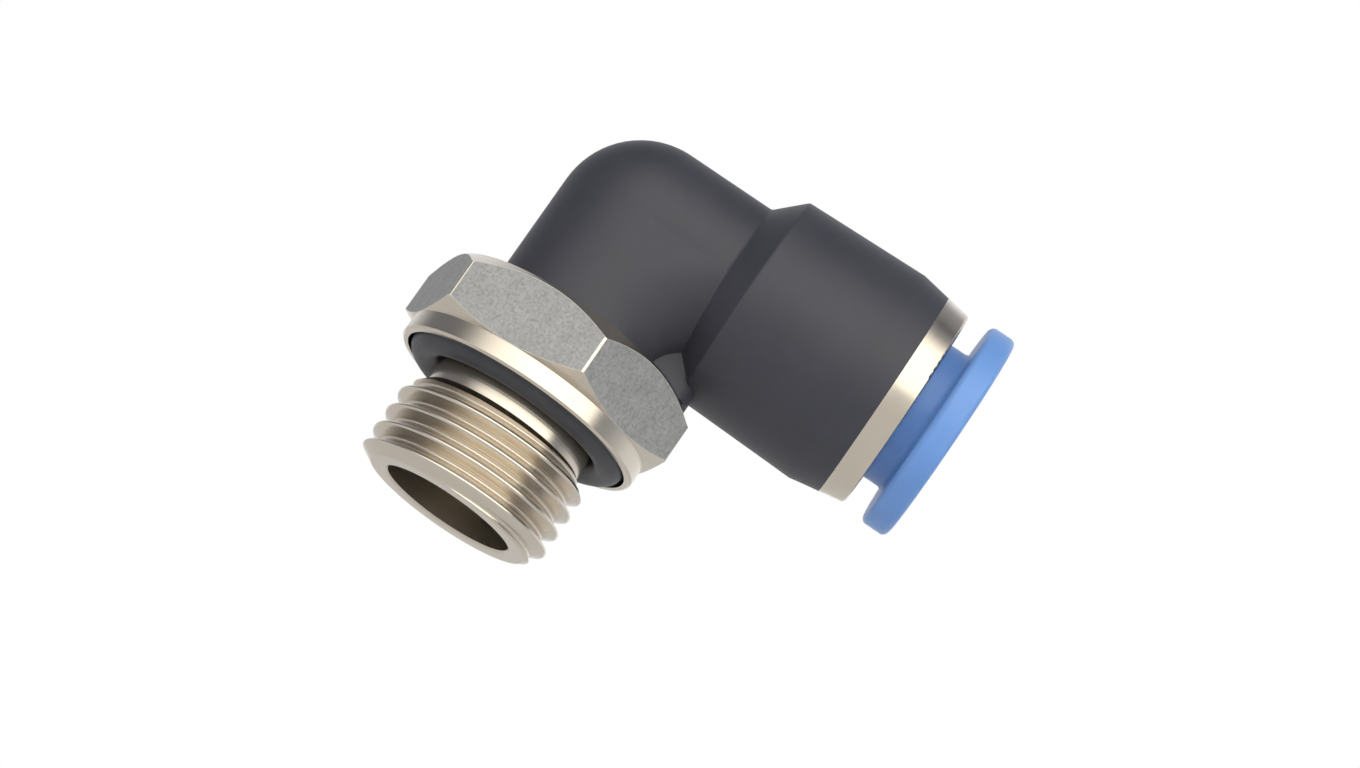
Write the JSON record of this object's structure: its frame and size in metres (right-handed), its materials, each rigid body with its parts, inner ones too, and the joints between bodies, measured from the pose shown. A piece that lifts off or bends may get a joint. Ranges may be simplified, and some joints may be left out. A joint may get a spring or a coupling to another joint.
{
  "type": "push-to-connect tube fitting",
  "caption": "Male elbow push-to-connect tube fitting: a swivelling plastic elbow with a release ring, on a plated stud with a pipe thread, a hexagon and a face O-ring.",
  "frame": {"origin": "where the thread axis meets the sealing face of the stud's flange", "axes": "+Z along the thread axis from the port towards the elbow, +X out of the tube port along the tube's axis"},
  "size_m": [0.0329, 0.019, 0.0293],
  "materials": {
    "plated_stud": "matt blasted nickel plating",
    "plated_ring": "satin turned nickel plating",
    "body_plastic": "fine moulded satin",
    "release_plastic": "smooth satin acetal",
    "seat_plastic": "natural acetal",
    "o_ring_rubber": "matt moulded nitrile",
    "seal_rubber": "matt moulded nitrile",
    "spring_steel": "bright stamped stainless"
  },
  "bodies": {
    "stud": {"threaded_stud": "plated_stud", "face_o_ring": "o_ring_rubber", "swivel_o_ring": "o_ring_rubber"},
    "elbow": {"elbow_body": "body_plastic", "swivel_snap_ring": "spring_steel", "tube_seal": "seal_rubber", "claw_seat": "seat_plastic", "lock_claws": "spring_steel", "end_ring": "plated_ring"},
    "release": {"release_ring": "release_plastic"}
  },
  "joints": [
    {"name": "elbow_swivel", "type": "hinge", "parent": "stud", "child": "elbow", "pos_m": [0, 0, 0], "axis": [0, 0, 1], "continuous": true},
    {"name": "release_press", "type": "slide", "parent": "elbow", "child": "release", "axis": [-1, 0, 0], "range_m": [0, 0.0013], "stiffness_N_per_m": 1500, "deforming": ["lock_claws"]}
  ]
}
